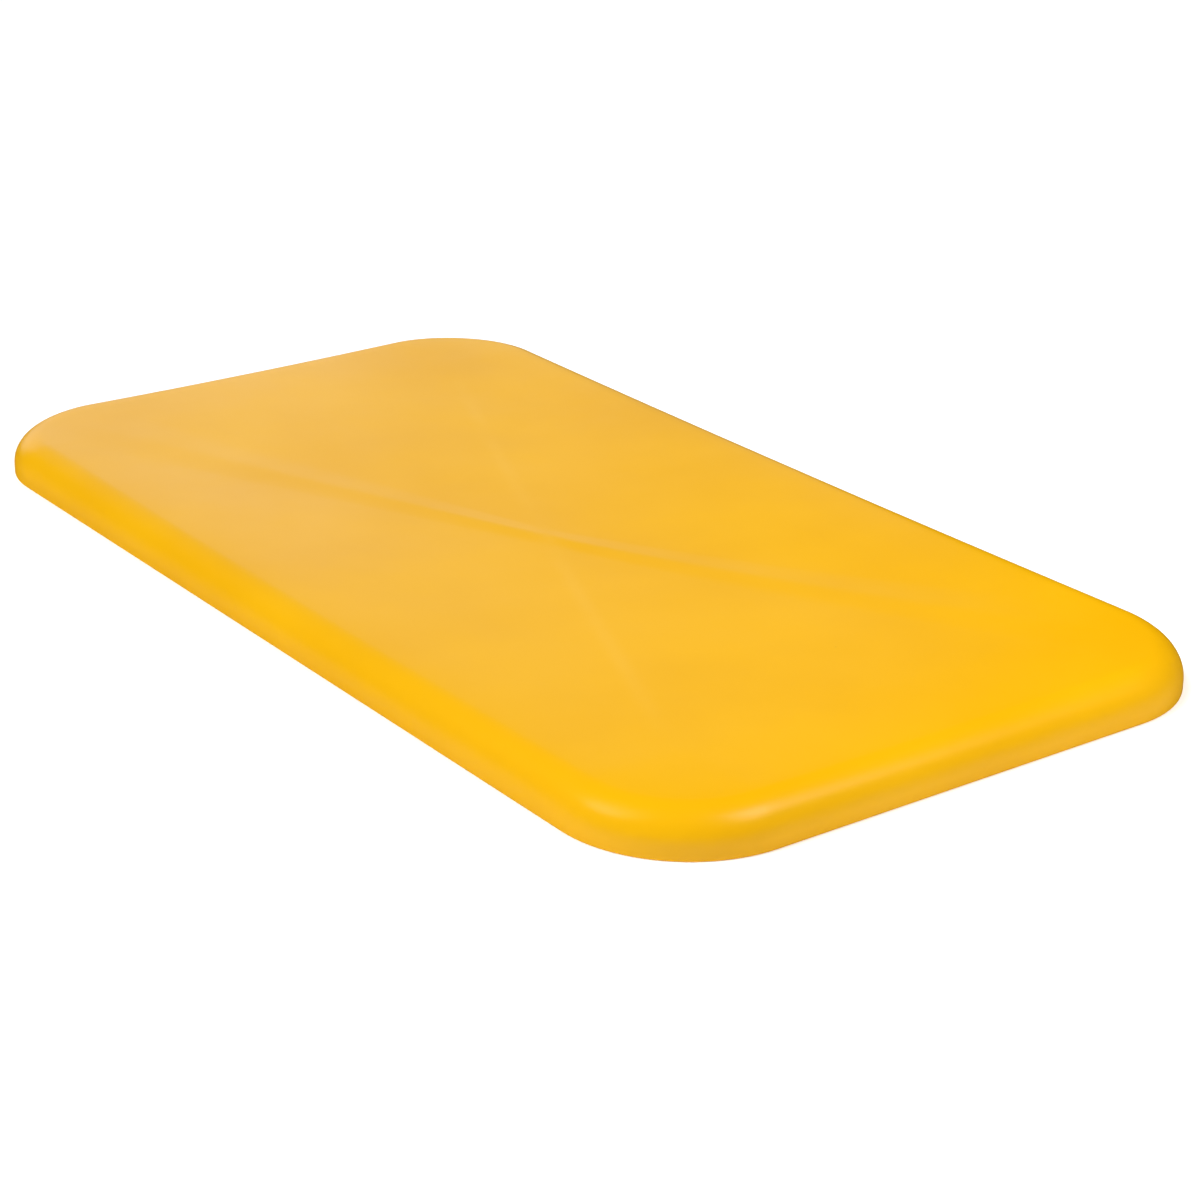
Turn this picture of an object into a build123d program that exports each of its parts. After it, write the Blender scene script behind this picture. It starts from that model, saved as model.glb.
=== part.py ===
from build123d import *
import os

# A drop-on lid for a wheeled or skidded insulated tub, moulded as a sandwich. A yellow top skin with a rolled
# edge covers a rigid foam core. Its top is a very shallow dish, stiffened by four low ribs from the corners to
# the middle. A formed under skin closes the core from below and is fused to the inside of the top skin's
# skirt. Round the underside it forms a channel that drops over the tub's lip, with a hollow bulb seal on the
# channel's ceiling.
#
# Millimetres. The origin is the centre of the lid's footprint, on the plane that the skirt stands on.
# +X runs along the lid's length, +Z is up.

# Overall
length = 1260.0
width = 680.0
corner_radius = 128.0  # plan corners of the outer face
skirt_height = 10.0  # upright part of the side, from the foot to the start of the roll
edge_radius = 33.0  # rolled upper edge, on the outer face

# Top
dish_depth = 12.0  # from the end of the roll down to the middle of the top
dish_curve = 1.5  # how the dish's fall gathers towards the middle
dish_rings = (1.0, 0.85, 0.7, 0.5, 0.3, 0.12, 0.02)  # sections of the dish, as shares of its outline
rib_rise = 2.0  # how far the ribs stand above the dish's lowest point
rib_half_width = 50.0
rib_flank_drop = 4.0  # from a rib's crest to the foot of its flank
rib_inset = 112.0  # from the lid's sides to each rib's outer end
rib_end_drop = 2.0  # from the rim down to a rib's crest at that end, which the dish covers
rib_overrun = 0.01  # how far each rib runs past the middle into the one opposite, as a share of its reach

# Skins
top_wall = 5.0
under_wall = 4.0
bend_radius = 5.0  # inside radius of the under skin's tighter bends
trim_radius = 1.5  # eased outer corner of the skirt's trimmed foot

# Underside
channel_width = 34.0  # between the skirt's inner face and the plug panel's side
channel_depth = 20.0  # from the foot to the channel's ceiling
panel_height = 5.0  # gap between the foot plane and the plug panel
flute_length = 860.0
flute_width = 26.0
flute_depth = 6.0
flute_rows = (-205.0, -90.0, 90.0, 205.0)  # y of each stiffening flute

# Foam core
foam_gap = 0.2  # cure shrinkage between the foam and the skins

# Bulb seal
seal_base_width = 14.0
seal_base_height = 2.5
bulb_radius = 4.5
bulb_bore = 3.0
bulb_drop = 5.0  # from the channel's ceiling to the bulb's centre

# Plugs in the plug panel
fill_plug_spacing = 640.0  # between the two foam fill holes
fill_hole_radius = 15.0
fill_head_radius = 19.5
fill_head_height = 2.5
vent_inset = 95.0  # from the lid's sides to each vent hole
vent_hole_radius = 5.0
vent_head_radius = 8.0
vent_head_height = 1.6
plug_clearance = 0.1  # radial, between a plug's stem and its hole
barb_height = 3.0
barb_bite = 0.9  # how far a barb stands out past its hole
barb_gap = 0.3  # between a barb and the under skin's upper face

# Sizes and places worked out from those above
rim_height = skirt_height + edge_radius
channel_inset = top_wall + under_wall
panel_inset = channel_inset + channel_width
seam_bend_radius = max(bend_radius, channel_depth - skirt_height)  # keeps the sheet inside the roll
seal_inset = (channel_inset + seam_bend_radius + panel_inset - bend_radius) / 2


def outline(inset, share=1.0):
    """The lid's plan outline, moved in by inset and scaled about its middle."""
    return RectangleRounded(
        share * (length - 2 * inset),
        share * (width - 2 * inset),
        share * (corner_radius - inset),
    )


def block(inset, bottom, top):
    """An upright block with the lid's plan outline, moved in by inset."""
    return extrude(Plane.XY.offset(bottom) * outline(inset), top - bottom)


def dished_block(inset, rim_top, roll):
    """The lid's outer form: an upright block with a rolled upper edge and a shallow dish in its top."""
    body = block(inset, 0, rim_top)
    body = fillet(body.edges().group_by(Axis.Z)[-1], roll)
    sections = []
    for share in dish_rings:
        fall = dish_depth * (1 - share**2) ** dish_curve
        sections.append(Plane.XY.offset(rim_top - fall) * outline(inset + roll, share))
    return body - loft(sections)


def rib_section(place, crest):
    """A rib's section: a flat upright triangle that faces the lid's middle, with its crest at a height."""
    foot = crest - rib_flank_drop
    across = Plane(origin=place, x_dir=(-place.Y, place.X, 0), z_dir=(place.X, place.Y, 0))
    return across * Polygon(
        (-rib_half_width, foot),
        (rib_half_width, foot),
        (0, crest),
        align=None,
    )


def corner_rib(side_x, side_y):
    """One low rib from near a corner to the lid's middle."""
    corner = Vector(side_x * (length / 2 - rib_inset), side_y * (width / 2 - rib_inset))
    outer_end = rib_section(corner, rim_height - rib_end_drop)
    inner_end = rib_section(-corner * rib_overrun, rim_height - dish_depth + rib_rise)
    return loft([outer_end, inner_end], ruled=True)


def flute(row, grow):
    """The room that one stiffening flute takes out of the plug panel, grown by grow."""
    slot = Pos(0, row) * SlotOverall(flute_length + 2 * grow, flute_width + 2 * grow)
    room = extrude(Plane.XY.offset(panel_height / 2) * slot, panel_height / 2 + flute_depth + grow)
    return fillet(room.edges().group_by(Axis.Z)[-1], bend_radius + grow)


def room_below(grow):
    """All the room under the under skin's lower face, with that face moved up and out by grow."""
    ceiling = channel_depth + grow
    room = block(channel_inset - grow, 0, ceiling)
    room = fillet(room.edges().group_by(Axis.Z)[-1], seam_bend_radius + grow)
    panel = block(panel_inset + grow, panel_height + grow, ceiling)
    room -= fillet(panel.edges().group_by(Axis.Z)[0], bend_radius + under_wall - grow)
    channel_ceiling = room.faces().sort_by(Axis.Z)[-1]
    room = fillet(channel_ceiling.inner_wires().edges(), bend_radius + grow)
    for row in flute_rows:
        room += flute(row, grow)
    return room


def plug(hole_radius, head_radius, head_height):
    """A push-in plug, head down, with its head's upper face at z = 0. Two barbs hold it in the foam."""
    stem_radius = hole_radius - plug_clearance
    stem_height = under_wall + barb_gap + 2 * barb_height
    head = Pos(0, 0, -head_height / 2) * Cylinder(head_radius, head_height)
    head = chamfer(head.edges().group_by(Axis.Z)[0], head_height / 3)
    body = head + Pos(0, 0, stem_height / 2) * Cylinder(stem_radius, stem_height)
    for turn in range(2):
        barb_foot = under_wall + barb_gap + turn * barb_height
        barb = Cone(hole_radius + barb_bite, stem_radius - barb_bite, barb_height)
        body += Pos(0, 0, barb_foot + barb_height / 2) * barb
    bore_depth = stem_height - under_wall / 2
    body -= Pos(0, 0, stem_height - bore_depth / 2) * Cylinder(stem_radius * 0.6, bore_depth)
    drive = Box(head_radius, head_radius / 5, head_height / 2)
    for angle in (0, 90):
        body -= Pos(0, 0, -head_height) * Rot(0, 0, angle) * drive
    return body


def plug_pocket(hole_radius):
    """The room that a plug's stem needs in the foam, from the plug panel's lower face up."""
    depth = under_wall + barb_gap + 2 * barb_height + foam_gap
    return Pos(0, 0, depth / 2) * Cylinder(hole_radius + barb_bite + foam_gap, depth)


def through_hole(hole_radius):
    """A hole through the plug panel, from below its lower face to above its upper face."""
    return Pos(0, 0, under_wall / 2) * Cylinder(hole_radius, 2 * under_wall)


fill_places = [
    Pos(x, 0, panel_height)
    for x in (-fill_plug_spacing / 2, fill_plug_spacing / 2)
]
vent_places = [
    Pos(x * (length / 2 - vent_inset), y * (width / 2 - vent_inset), panel_height)
    for x in (-1, 1)
    for y in (-1, 1)
]


def make_top_skin():
    """The outer moulding: dished and ribbed top, rolled edge and skirt, open below."""
    outside = dished_block(0, rim_height, edge_radius)
    for side_x in (-1, 1):
        for side_y in (-1, 1):
            outside += corner_rib(side_x, side_y)
    outside = fillet(outside.edges().group_by(Axis.Z)[0], trim_radius)
    return outside - dished_block(top_wall, rim_height - top_wall, edge_radius - top_wall)


def make_under_skin():
    """The formed lower sheet: seam flange, channel, plug panel with its flutes, and the plug holes."""
    sheet = room_below(under_wall) - room_below(0)
    for place in fill_places:
        sheet -= place * through_hole(fill_hole_radius)
    for place in vent_places:
        sheet -= place * through_hole(vent_hole_radius)
    return sheet


def make_foam_core():
    """The rigid foam between the two skins."""
    shift = top_wall + foam_gap
    core = dished_block(shift, rim_height - shift, edge_radius - shift)
    core -= room_below(under_wall + foam_gap)
    for place in fill_places:
        core -= place * plug_pocket(fill_hole_radius)
    for place in vent_places:
        core -= place * plug_pocket(vent_hole_radius)
    return core


def seal_tube(radius):
    """A round bar of the given radius, bent to the seal's path round the channel."""
    path = (Plane.XY.offset(channel_depth - bulb_drop) * outline(seal_inset)).wire()
    section = Plane(origin=path @ 0, z_dir=path % 0) * Circle(radius)
    return sweep(section, path=path)


def make_rim_seal():
    """The extruded seal: a flat base stuck to the channel's ceiling and a hollow bulb hanging from it."""
    base = block(seal_inset - seal_base_width / 2, channel_depth - seal_base_height, channel_depth)
    base -= block(seal_inset + seal_base_width / 2, channel_depth - seal_base_height, channel_depth)
    return base + seal_tube(bulb_radius) - seal_tube(bulb_bore)


def make_fill_plugs():
    """The plugs in the two holes that the foam was injected through."""
    shape = plug(fill_hole_radius, fill_head_radius, fill_head_height)
    return Compound([place * shape for place in fill_places])


def make_vent_plugs():
    """The plugs in the four corner holes that let air out while the foam rose."""
    shape = plug(vent_hole_radius, vent_head_radius, vent_head_height)
    return Compound([place * shape for place in vent_places])


os.makedirs("parts", exist_ok=True)
export_step(make_top_skin(), "parts/top_skin.step")
export_step(make_under_skin(), "parts/under_skin.step")
export_step(make_foam_core(), "parts/foam_core.step")
export_step(make_rim_seal(), "parts/rim_seal.step")
export_step(make_fill_plugs(), "parts/fill_plugs.step")
export_step(make_vent_plugs(), "parts/vent_plugs.step")
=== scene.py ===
import bmesh
import bpy
import math
from mathutils import Matrix, Vector, noise


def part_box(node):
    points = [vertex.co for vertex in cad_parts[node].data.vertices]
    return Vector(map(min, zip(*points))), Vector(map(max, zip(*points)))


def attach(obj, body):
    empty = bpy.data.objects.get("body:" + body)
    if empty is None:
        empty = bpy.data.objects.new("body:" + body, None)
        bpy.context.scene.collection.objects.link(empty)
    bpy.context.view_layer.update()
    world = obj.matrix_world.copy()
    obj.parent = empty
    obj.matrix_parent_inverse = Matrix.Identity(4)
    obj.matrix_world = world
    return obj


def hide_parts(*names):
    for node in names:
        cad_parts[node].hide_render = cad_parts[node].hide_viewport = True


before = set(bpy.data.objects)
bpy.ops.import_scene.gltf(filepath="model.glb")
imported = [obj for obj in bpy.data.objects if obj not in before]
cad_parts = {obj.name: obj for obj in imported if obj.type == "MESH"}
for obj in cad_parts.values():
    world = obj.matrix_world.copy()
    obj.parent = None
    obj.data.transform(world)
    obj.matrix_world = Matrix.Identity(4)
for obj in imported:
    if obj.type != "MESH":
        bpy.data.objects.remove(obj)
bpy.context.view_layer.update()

# the insulated tub's lid lies foot down on the floor, its length along X, its middle over the origin
_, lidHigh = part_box("top_skin")

studio = {
    "cameraAt": (2.24405, -1.59123, 1.09641),
    "cameraTurn": 54.66,  # degrees, the camera's turn about the upright axis
    "cameraTilt": 21.73,  # degrees that it looks down
    "cameraRoll": 0.17,
    "lens": 86.73,
    "sensor": 36.0,
    "shift": (0.045, -0.0322),
    "viewDepth": 200.0,
    "aimHeight": 0.02,  # the lamps point at the lid's middle, this far up
    "skyLight": 0.12,
    "floorSize": 60.0,
    "floorGap": 0.0002,  # keeps the floor off the foot's own flat face
    "floorGlow": 0.32,  # keeps the floor white far from the lamps
    "floorWhite": (0.90, 0.92),
    "floorRoughness": 0.9,
    "floorSpecular": 0.1,
    "floorPatches": 1.5,
    "backdropRadius": 45.0,
    "backdropWhite": (0.98, 1.0),
    "backdropPatches": 0.1,
}


def addObject(name, data):
    obj = bpy.data.objects.new(name, data)
    bpy.context.scene.collection.objects.link(obj)
    return obj


def addMesh(name, bm):  # a finished bmesh becomes an object at the origin
    mesh = bpy.data.meshes.new(name)
    bm.to_mesh(mesh)
    bm.free()
    return addObject(name, mesh)


def lampPlace(azimuth, elevation, distance):  # a point seen from the lid at these angles, in degrees
    a, e = math.radians(azimuth), math.radians(elevation)
    return Vector((math.cos(e) * math.cos(a), math.cos(e) * math.sin(a), math.sin(e))) * distance


def aimAtLid(obj, place):
    obj.location = place
    line = place - Vector((0.0, 0.0, studio["aimHeight"]))
    obj.rotation_euler = line.to_track_quat("Z", "Y").to_euler()


def makeCamera():
    camera = addObject("studioCamera", bpy.data.cameras.new("studioCamera"))
    turn = Matrix.Rotation(math.radians(studio["cameraTurn"]), 4, "Z")
    tilt = Matrix.Rotation(math.radians(90 - studio["cameraTilt"]), 4, "X")
    roll = Matrix.Rotation(math.radians(studio["cameraRoll"]), 4, "Z")
    camera.matrix_world = Matrix.Translation(studio["cameraAt"]) @ turn @ tilt @ roll
    camera.data.lens = studio["lens"]
    camera.data.sensor_width = studio["sensor"]
    camera.data.shift_x, camera.data.shift_y = studio["shift"]
    camera.data.clip_end = studio["viewDepth"]
    bpy.context.scene.camera = camera


# azimuth and elevation are where each lamp stands, seen from the lid, in degrees
# a lamp with a spread is a distant round soft box, one with watts is a panel near the lid
lamps = {
    "front": {"azimuth": -118, "elevation": 57, "distance": 4.0,
              "spread": 34, "strength": 2.2, "inGloss": False},
    "glint": {"azimuth": -118, "elevation": 47, "distance": 4.0,
              "spread": 20, "strength": 0.3, "inGloss": True},  # the front lamp's small bright spot
    "right": {"azimuth": 21, "elevation": 46, "distance": 2.4,
              "size": (1.15, 1.15), "watts": 10.0, "inGloss": False},
    "rightGlint": {"azimuth": 22, "elevation": 47, "distance": 2.4,
                   "size": (0.8, 0.8), "watts": 13.5, "inGloss": True},
    "rearWide": {"azimuth": 160, "elevation": 14, "distance": 3.0,
                 "size": (3.46, 1.2), "watts": 5.4, "inGloss": True},
    "rearMiddle": {"azimuth": 166, "elevation": 14, "distance": 3.0,
                   "size": (2.6, 1.2), "watts": 2.9, "inGloss": True},
    "rearLeft": {"azimuth": 171, "elevation": 14, "distance": 3.0,
                 "size": (2.1, 1.2), "watts": 2.9, "inGloss": True},
}


def makeLamps():
    for name, values in lamps.items():
        if "spread" in values:
            light = bpy.data.lights.new(name + "Lamp", "SUN")
            light.angle = math.radians(values["spread"])
            light.energy = values["strength"]
        else:
            light = bpy.data.lights.new(name + "Lamp", "AREA")
            light.shape = "RECTANGLE"
            light.size, light.size_y = values["size"]
            light.energy = values["watts"]
        lamp = addObject(name + "Lamp", light)
        aimAtLid(lamp, lampPlace(values["azimuth"], values["elevation"], values["distance"]))
        lamp.visible_glossy = values["inGloss"]


def makeSky():
    world = bpy.data.worlds.new("studioSky")
    bpy.context.scene.world = world
    world.use_nodes = True
    sky = world.node_tree.nodes["Background"]
    sky.inputs["Color"].default_value = (1.0, 1.0, 1.0, 1.0)
    sky.inputs["Strength"].default_value = studio["skyLight"]
    world.cycles_visibility.glossy = False  # the room is dark in the gloss, so only the lamps show there
    bpy.context.scene.view_settings.view_transform = "Standard"


# short ways to add the nodes that every finish below is built from
def startMaterial(name):
    material = bpy.data.materials.new(name)
    material.use_nodes = True
    tree = material.node_tree
    shader = tree.nodes["Principled BSDF"]
    place = tree.nodes.new("ShaderNodeTexCoord")
    return material, tree, shader, place.outputs["Object"]


def addNoise(tree, place, scale, detail=2.0, roughness=0.5):
    node = tree.nodes.new("ShaderNodeTexNoise")
    node.inputs["Scale"].default_value = scale
    node.inputs["Detail"].default_value = detail
    node.inputs["Roughness"].default_value = roughness
    tree.links.new(place, node.inputs["Vector"])
    return node.outputs["Fac"]


def addCells(tree, place, scale):  # distance from the middle of the nearest cell
    node = tree.nodes.new("ShaderNodeTexVoronoi")
    node.inputs["Scale"].default_value = scale
    tree.links.new(place, node.inputs["Vector"])
    return node.outputs["Distance"]


def addRange(tree, value, fromLow, fromHigh, toLow, toHigh, smooth=False):
    node = tree.nodes.new("ShaderNodeMapRange")
    node.interpolation_type = "SMOOTHSTEP" if smooth else "LINEAR"
    numbers = {"From Min": fromLow, "From Max": fromHigh, "To Min": toLow, "To Max": toHigh}
    for name, number in numbers.items():
        node.inputs[name].default_value = number
    tree.links.new(value, node.inputs["Value"])
    return node.outputs["Result"]


def addMath(tree, operation, *values):  # each value is a number or a socket
    node = tree.nodes.new("ShaderNodeMath")
    node.operation = operation
    for socket, value in zip(node.inputs, values):
        if isinstance(value, (int, float)):
            socket.default_value = value
        else:
            tree.links.new(value, socket)
    return node.outputs["Value"]


def addMix(tree, factor, first, second):  # each of the two is a colour or a socket
    node = tree.nodes.new("ShaderNodeMix")
    node.data_type = "RGBA"
    tree.links.new(factor, node.inputs["Factor"])
    for socket, value in ((node.inputs["A"], first), (node.inputs["B"], second)):
        if isinstance(value, tuple):
            socket.default_value = value + (1.0,)
        else:
            tree.links.new(value, socket)
    return node.outputs["Result"]


def addBumps(tree, shader, layers):  # layers of (height socket, strength, height in metres), coarse first
    last = None
    for height, strength, distance in layers:
        node = tree.nodes.new("ShaderNodeBump")
        node.inputs["Strength"].default_value = strength
        node.inputs["Distance"].default_value = distance
        tree.links.new(height, node.inputs["Height"])
        if last:
            tree.links.new(last, node.inputs["Normal"])
        last = node.outputs["Normal"]
    tree.links.new(last, shader.inputs["Normal"])


yellow = {
    "deep": (0.89, 0.452, 0.0005),
    "light": (0.93, 0.485, 0.0015),
    "cloudScale": 5.0,
    "ior": 1.5,
    "specular": 0.3,
    "glossRoughness": (0.29, 0.34),  # the top skin, polished by its mould
    "formedRoughness": (0.38, 0.48),  # the under skin, stretched and duller
    "roughnessScale": 14.0,
    # painted highlight colour, paler and whiter than the yellow, laid along the cross crest
    "crestHighlight": (0.98, 0.56, 0.06),
    "crestHighlightHalfWidth": 0.015,
    "crestHighlightStrength": 0.2,
    "crestHighlightEnd": (0.36, 0.50),  # |x| over which the painted crest highlight fades before the rim
    "crestHighlightStart": (0.02, 0.14),  # and over which it grows from the middle
    "crestHighlightAtMiddle": 0.3,
    "crestHighlightPatches": 9.0,
    "speck": (0.25, 0.12, 0.02),
    "speckScale": 16.0,
    "speckSize": (0.010, 0.022),
    "speckStrength": 0.6,
    "speckPatches": 4.0,
    "waveBump": (9.0, 1.0, 0.2, 0.0006),  # noise scale, noise detail, strength, height
    "grainBump": (70.0, 0.0, 0.1, 0.00004),
}


def addPaintedCrestHighlight(tree, place, colour):  # a painted highlight: the paler, whiter line along the cross crest
    split = tree.nodes.new("ShaderNodeSeparateXYZ")
    tree.links.new(place, split.inputs["Vector"])
    cross = topSkin["crossCrest"]
    crest = addMath(tree, "MULTIPLY_ADD", split.outputs["X"], cross["slope"], cross["offset"])
    away = addMath(tree, "ABSOLUTE", addMath(tree, "SUBTRACT", split.outputs["Y"], crest))
    line = addRange(tree, away, 0.0, yellow["crestHighlightHalfWidth"], 1.0, 0.0, True)
    out = addMath(tree, "ABSOLUTE", split.outputs["X"])
    ends = addRange(tree, out, *yellow["crestHighlightEnd"], 1.0, 0.0, True)
    line = addMath(tree, "MULTIPLY", line, ends)
    middle = addRange(tree, out, *yellow["crestHighlightStart"], yellow["crestHighlightAtMiddle"], 1.0, True)
    line = addMath(tree, "MULTIPLY", line, middle)
    patchy = addRange(tree, addNoise(tree, place, yellow["crestHighlightPatches"], 4.0), 0.35, 0.6, 0.2, 1.0)
    # the painted highlight's mask: on the crest, fading at both ends, in patches
    crestHighlight = addMath(tree, "MULTIPLY", addMath(tree, "MULTIPLY", line, patchy), yellow["crestHighlightStrength"])
    return addMix(tree, crestHighlight, colour, yellow["crestHighlight"])


def makeYellow(name, paintsCrestHighlight, roughness):  # moulded polyethylene
    material, tree, shader, place = startMaterial(name)
    shader.inputs["IOR"].default_value = yellow["ior"]
    shader.inputs["Specular IOR Level"].default_value = yellow["specular"]
    cloud = addRange(tree, addNoise(tree, place, yellow["cloudScale"], 3.0), 0.35, 0.65, 0.0, 1.0)
    colour = addMix(tree, cloud, yellow["deep"], yellow["light"])
    # the top skin gets a painted highlight along its cross crest
    if paintsCrestHighlight:
        colour = addPaintedCrestHighlight(tree, place, colour)
    speck = addRange(tree, addCells(tree, place, yellow["speckScale"]), *yellow["speckSize"], 1.0, 0.0)
    patches = addNoise(tree, place, yellow["speckPatches"], 1.0)
    kept = addRange(tree, patches, 0.62, 0.64, 0.0, yellow["speckStrength"])
    colour = addMix(tree, addMath(tree, "MULTIPLY", speck, kept), colour, yellow["speck"])
    tree.links.new(colour, shader.inputs["Base Color"])
    gloss = addRange(tree, addNoise(tree, place, yellow["roughnessScale"], 5.0, 0.6), 0.3, 0.7, *roughness)
    tree.links.new(gloss, shader.inputs["Roughness"])
    layers = []
    for scale, detail, strength, height in (yellow["waveBump"], yellow["grainBump"]):
        layers.append((addNoise(tree, place, scale, detail), strength, height))
    addBumps(tree, shader, layers)
    return material


# the top skin: a dished top with ribs towards its corners, a rolled edge and a skirt
topSkin = {
    "cornerRadius": 0.128,
    "skirt": 0.010,
    "edgeRadius": 0.033,
    "wall": 0.005,
    "footBevel": 0.0015,
    "footSteps": 3,
    "cornerSteps": 24,
    "longSteps": 60,
    "shortSteps": 26,
    "rollSteps": 22,
    "dishRings": 56,
    "lastRing": 0.7,  # size of the innermost ring, in steps between rings
    "dishDepth": 0.0115,
    "dishCurve": 1.5,
    "dishSquareness": 8.0,
    "insideDish": 1.044,  # the inner face's dish is this much deeper
    "ribRise": (0.0013, 0.0010),  # at the middle and towards the corner
    "ribHalfWidth": (0.018, 0.056),
    "ribRounding": 0.22,
    "ribSharpness": 1.2,
    # slope and bend of the crest's y over x, on either side of the middle
    "longCrest": {"left": (0.41, -0.07), "right": (0.455, 0.13), "offset": -0.009},
    "crossCrest": {"slope": -0.43, "offset": -0.004, "strength": 0.35},
    "cornerDroop": 0.0016,
    "rimSag": (0.0034, 0.0018),  # how far the long and the short sides' rims hang below the corners
    "waviness": 0.0003,
    "longWave": (5.0, 7.0, 3.1),  # waves to the metre along X and Y, and a place in the noise
    "shortWave": (17.0, 19.0, 8.4),
    "weld": 1e-6,
}


def dishFall(share):
    return topSkin["dishDepth"] * (1 - share**2) ** topSkin["dishCurve"]


def shareOut(x, y):  # 0 in the middle of the top, 1 where the rolled edge starts
    power = topSkin["dishSquareness"]
    halfX, halfY = lidHigh.x - topSkin["edgeRadius"], lidHigh.y - topSkin["edgeRadius"]
    return min(1.0, (abs(x / halfX) ** power + abs(y / halfY) ** power) ** (1 / power))


def ribHeight(x, y, share):  # how far the two crests stand over the dish here
    long, cross = topSkin["longCrest"], topSkin["crossCrest"]
    slope, bend = long["left"] if x < 0 else long["right"]
    offLong = abs(y - slope * x - long["offset"] - bend * x**2) / math.hypot(1, slope)
    offCross = abs(y - cross["slope"] * x - cross["offset"]) / math.hypot(1, cross["slope"])
    middle, corner = topSkin["ribHalfWidth"]
    halfWidth = middle + (corner - middle) * share
    soft = topSkin["ribRounding"]

    def flank(off):  # 1 on the crest, 0 at the foot, rounded at both
        tent = 1 - (math.hypot(off / halfWidth, soft) - soft) / (math.hypot(1, soft) - soft)
        return max(0.0, tent) ** topSkin["ribSharpness"]

    both = 1 - (1 - flank(offLong)) * (1 - cross["strength"] * flank(offCross))
    low, high = topSkin["ribRise"]
    return (low + (high - low) * share) * both * (1 - share**6)


def rimDrop(x, y, share):  # the slight bow of the sides and droop of the corners
    reach = topSkin["cornerRadius"]
    innerX, innerY = lidHigh.x - reach, lidHigh.y - reach
    corner = max(0.0, abs(x) - innerX) * max(0.0, abs(y) - innerY) * 2 / reach**2
    sagLong, sagShort = topSkin["rimSag"]
    sag = sagLong * max(0.0, 1 - (x / innerX) ** 2) + sagShort * max(0.0, 1 - (y / innerY) ** 2)
    return topSkin["cornerDroop"] * corner + sag * share**4


def waveDrop(x, y):  # moulded sheet is never quite flat
    alongX, alongY, place = topSkin["longWave"]
    wave = 0.5 + 0.5 * noise.noise(Vector((x * alongX, y * alongY, place)))
    alongX, alongY, place = topSkin["shortWave"]
    wave += 0.25 * noise.noise(Vector((x * alongX, y * alongY, place)))
    return topSkin["waviness"] * max(0.0, wave)


def shapeOutside(verts):
    for v in verts:
        x, y, z = v.co
        share = shareOut(x, y)
        lift = min(1.0, z / lidHigh.z) ** 2  # the foot stays flat on the floor
        drop = rimDrop(x, y, share) + waveDrop(x, y)
        if z > lidHigh.z - topSkin["weld"]:
            drop += dishFall(share) - ribHeight(x, y, share)
        v.co.z = z - drop * lift


def shapeInside(verts):  # follows the dish only, clear of the foam
    ceiling = lidHigh.z - topSkin["wall"] - 10 * topSkin["weld"]
    for v in verts:
        if v.co.z > ceiling:
            v.co.z -= dishFall(shareOut(v.co.x, v.co.y)) * topSkin["insideDish"]


def makeOutline(bm):  # one flat face with round corners and evenly cut sides
    bmesh.ops.create_grid(bm, x_segments=1, y_segments=1, size=1.0)
    bmesh.ops.scale(bm, vec=(lidHigh.x, lidHigh.y, 1), verts=bm.verts)
    bmesh.ops.bevel(bm, geom=bm.verts[:], offset=topSkin["cornerRadius"], offset_type="OFFSET",
                    segments=topSkin["cornerSteps"], profile=0.5, affect="VERTICES", material=-1)
    bmesh.ops.delete(bm, geom=bm.faces[:], context="FACES_ONLY")  # a loose outline is cut without a fill
    for longest, steps in ((lidHigh.x, topSkin["longSteps"]), (lidHigh.y, topSkin["shortSteps"])):
        straight = [e for e in bm.edges if e.calc_length() > longest]
        bmesh.ops.subdivide_edges(bm, edges=straight, cuts=steps - 1)
    face = bmesh.ops.contextual_create(bm, geom=bm.edges[:])["faces"][0]
    if face.normal.z < 0:
        face.normal_flip()
    return face


def makeTopSkin():
    bm = bmesh.new()
    face = makeOutline(bm)

    def newRing():  # a wall of no height round the face, which the next move opens
        return bmesh.ops.extrude_discrete_faces(bm, faces=[face])["faces"][0]

    for i in range(2):  # the skirt, in two courses
        face = newRing()
        bmesh.ops.translate(bm, verts=face.verts[:], vec=(0, 0, topSkin["skirt"] * 0.5))
    radius, steps = topSkin["edgeRadius"], topSkin["rollSteps"]
    for i in range(steps):
        a, b = math.pi / 2 * i / steps, math.pi / 2 * (i + 1) / steps
        bmesh.ops.inset_region(bm, faces=[face], thickness=radius * (math.cos(a) - math.cos(b)),
                               depth=radius * (math.sin(b) - math.sin(a)), use_even_offset=True)
    last = 1.0
    for i in range(topSkin["dishRings"]):
        share = 1 - (i + 1) / (topSkin["dishRings"] + topSkin["lastRing"])
        face = newRing()
        bmesh.ops.scale(bm, vec=(share / last, share / last, 1), verts=face.verts[:])
        last = share
    bmesh.ops.poke(bm, faces=[face])
    bmesh.ops.remove_doubles(bm, verts=bm.verts, dist=topSkin["weld"])
    bmesh.ops.recalc_face_normals(bm, faces=bm.faces)

    outside = len(bm.verts)  # solidify keeps the outer face's points first
    bmesh.ops.solidify(bm, geom=bm.faces[:], thickness=topSkin["wall"])
    bm.verts.ensure_lookup_table()
    foot = [e for e in bm.edges
            if all(v.index < outside and v.co.z < topSkin["weld"] for v in e.verts)]
    shapeOutside(bm.verts[:outside])
    shapeInside(bm.verts[outside:])
    bmesh.ops.bevel(bm, geom=foot, offset=topSkin["footBevel"], offset_type="OFFSET",
                    segments=topSkin["footSteps"], profile=0.5, affect="EDGES", material=-1)
    lid = addMesh("lidTopSkin", bm)
    lid.data.shade_smooth()
    lid.data.materials.append(makeYellow("glossYellow", True, yellow["glossRoughness"]))
    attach(lid, "root")
    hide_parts("top_skin")


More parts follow.
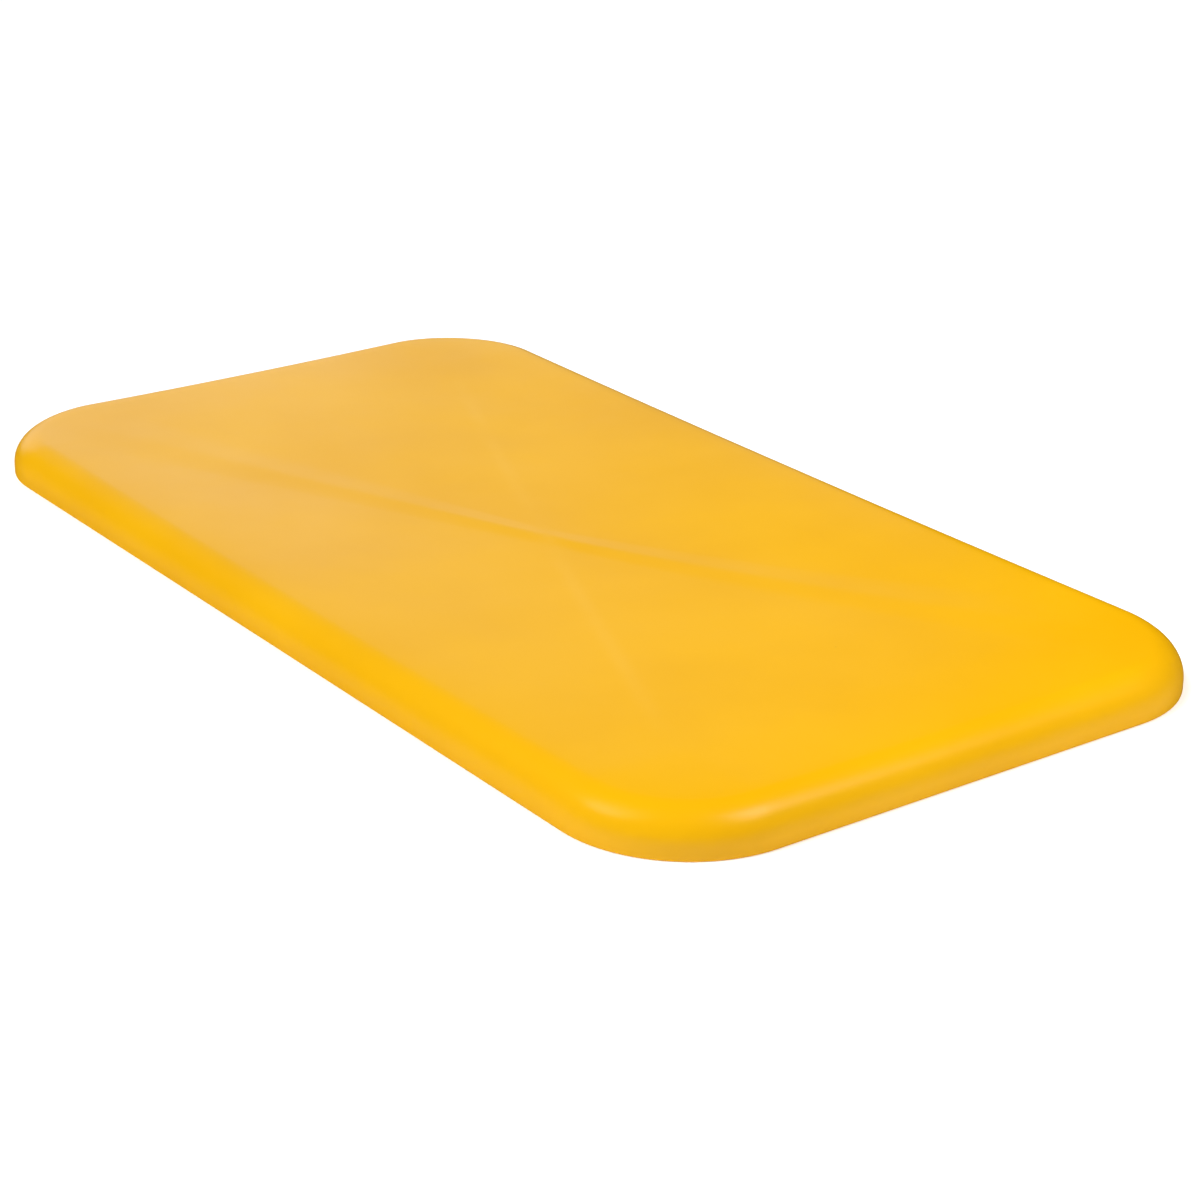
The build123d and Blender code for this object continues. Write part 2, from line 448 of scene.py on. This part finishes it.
# the parts under the lid keep their shapes and get their own finishes
foam = {
    "pale": (0.80, 0.70, 0.42),
    "dark": (0.66, 0.54, 0.28),
    "cellScale": 260.0,
    "patches": 12.0,
    "roughness": (0.95, 0.8),
    "bump": (0.5, 0.0008),  # strength and height
}
rubber = {
    "black": (0.018, 0.018, 0.020),
    "bloom": (0.045, 0.045, 0.048),
    "bloomScale": 30.0,
    "roughness": (0.48, 0.66),
    "specular": 0.35,
    "grainScale": 900.0,
    "bump": (0.3, 0.0001),
}
plug = {
    "grey": (0.19, 0.20, 0.21),
    "scuffed": (0.27, 0.28, 0.29),
    "scuffScale": 140.0,
    "roughness": (0.34, 0.46),
    "grainScale": 700.0,
    "bump": (0.2, 0.0001),
}


def makeFoam():  # rigid polyurethane: pale, cellular and dull
    material, tree, shader, place = startMaterial("rigidFoam")
    cell = addRange(tree, addCells(tree, place, foam["cellScale"]), 0.0, 0.7, 0.0, 1.0)
    patchy = addRange(tree, addNoise(tree, place, foam["patches"], 3.0), 0.3, 0.7, 0.5, 1.0)
    # partly painted shade: each cell is darker in its middle, where the bump dips; partly random patches
    # of tone
    dentShadeAndTone = addMath(tree, "MULTIPLY", cell, patchy)
    tree.links.new(addMix(tree, dentShadeAndTone, foam["dark"], foam["pale"]), shader.inputs["Base Color"])
    tree.links.new(addRange(tree, cell, 0.0, 1.0, *foam["roughness"]), shader.inputs["Roughness"])
    addBumps(tree, shader, ((cell, *foam["bump"]),))
    return material


def makeRubber():  # extruded seal: fine grain and a faint grey bloom
    material, tree, shader, place = startMaterial("sealRubber")
    bloom = addRange(tree, addNoise(tree, place, rubber["bloomScale"], 5.0, 0.6), 0.4, 0.75, 0.0, 1.0)
    tree.links.new(addMix(tree, bloom, rubber["black"], rubber["bloom"]), shader.inputs["Base Color"])
    tree.links.new(addRange(tree, bloom, 0.0, 1.0, *rubber["roughness"]), shader.inputs["Roughness"])
    shader.inputs["Specular IOR Level"].default_value = rubber["specular"]
    addBumps(tree, shader, ((addNoise(tree, place, rubber["grainScale"], 2.0), *rubber["bump"]),))
    return material


def makeGreyPlastic():  # moulded plugs: satin, scuffed where a thumb pushed them home
    material, tree, shader, place = startMaterial("plugPlastic")
    scuff = addRange(tree, addNoise(tree, place, plug["scuffScale"], 6.0, 0.65), 0.5, 0.7, 0.0, 1.0)
    tree.links.new(addMix(tree, scuff, plug["grey"], plug["scuffed"]), shader.inputs["Base Color"])
    tree.links.new(addRange(tree, scuff, 0.0, 1.0, *plug["roughness"]), shader.inputs["Roughness"])
    addBumps(tree, shader, ((addNoise(tree, place, plug["grainScale"], 2.0), *plug["bump"]),))
    return material


def finishParts():
    finishes = {
        "under_skin": makeYellow("formedYellow", False, yellow["formedRoughness"]),
        "foam_core": makeFoam(),
        "rim_seal": makeRubber(),
    }
    finishes["fill_plugs"] = finishes["vent_plugs"] = makeGreyPlastic()
    for name, material in finishes.items():
        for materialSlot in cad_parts[name].material_slots:
            materialSlot.material = material


def addGreys(tree, place, scale, greys):  # soft patches between two greys
    low, high = greys
    return addMix(tree, addNoise(tree, place, scale), (low, low, low), (high, high, high))


def makeFloor():
    bm = bmesh.new()
    bmesh.ops.create_grid(bm, x_segments=1, y_segments=1, size=studio["floorSize"] / 2)
    bmesh.ops.translate(bm, verts=bm.verts, vec=(0, 0, -studio["floorGap"]))
    floor = addMesh("studioFloor", bm)
    material, tree, shader, place = startMaterial("floorWhite")
    tint = addGreys(tree, place, studio["floorPatches"], studio["floorWhite"])
    tree.links.new(tint, shader.inputs["Base Color"])
    shader.inputs["Roughness"].default_value = studio["floorRoughness"]
    shader.inputs["Specular IOR Level"].default_value = studio["floorSpecular"]
    shader.inputs["Emission Color"].default_value = (1.0, 1.0, 1.0, 1.0)
    shader.inputs["Emission Strength"].default_value = studio["floorGlow"]
    side = tree.nodes.new("ShaderNodeNewGeometry")  # the floor is clear from below, so the underside shows
    clear = tree.nodes.new("ShaderNodeBsdfTransparent")
    either = tree.nodes.new("ShaderNodeMixShader")
    tree.links.new(side.outputs["Backfacing"], either.inputs[0])
    tree.links.new(shader.outputs["BSDF"], either.inputs[1])
    tree.links.new(clear.outputs["BSDF"], either.inputs[2])
    tree.links.new(either.outputs["Shader"], tree.nodes["Material Output"].inputs["Surface"])
    floor.data.materials.append(material)
    floor.visible_glossy = False  # the gloss on the sides stays as dark as in a black-draped studio


def makeBackdrop():  # a white ball round the studio, which lights nothing
    bm = bmesh.new()
    bmesh.ops.create_icosphere(bm, subdivisions=4, radius=studio["backdropRadius"])
    backdrop = addMesh("studioBackdrop", bm)
    material, tree, shader, place = startMaterial("backdropWhite")
    shader.inputs["Base Color"].default_value = (0.0, 0.0, 0.0, 1.0)
    shader.inputs["Specular IOR Level"].default_value = 0.0
    shader.inputs["Emission Strength"].default_value = 1.0
    tint = addGreys(tree, place, studio["backdropPatches"], studio["backdropWhite"])
    tree.links.new(tint, shader.inputs["Emission Color"])
    backdrop.data.materials.append(material)
    backdrop.visible_diffuse = backdrop.visible_glossy = backdrop.visible_shadow = False
    backdrop.visible_transmission = False


makeCamera()
makeLamps()
makeSky()
makeFloor()
makeBackdrop()
print("studio ready")
makeTopSkin()
print("top skin ready")
finishParts()
print("seal, plugs, foam and under skin finished")
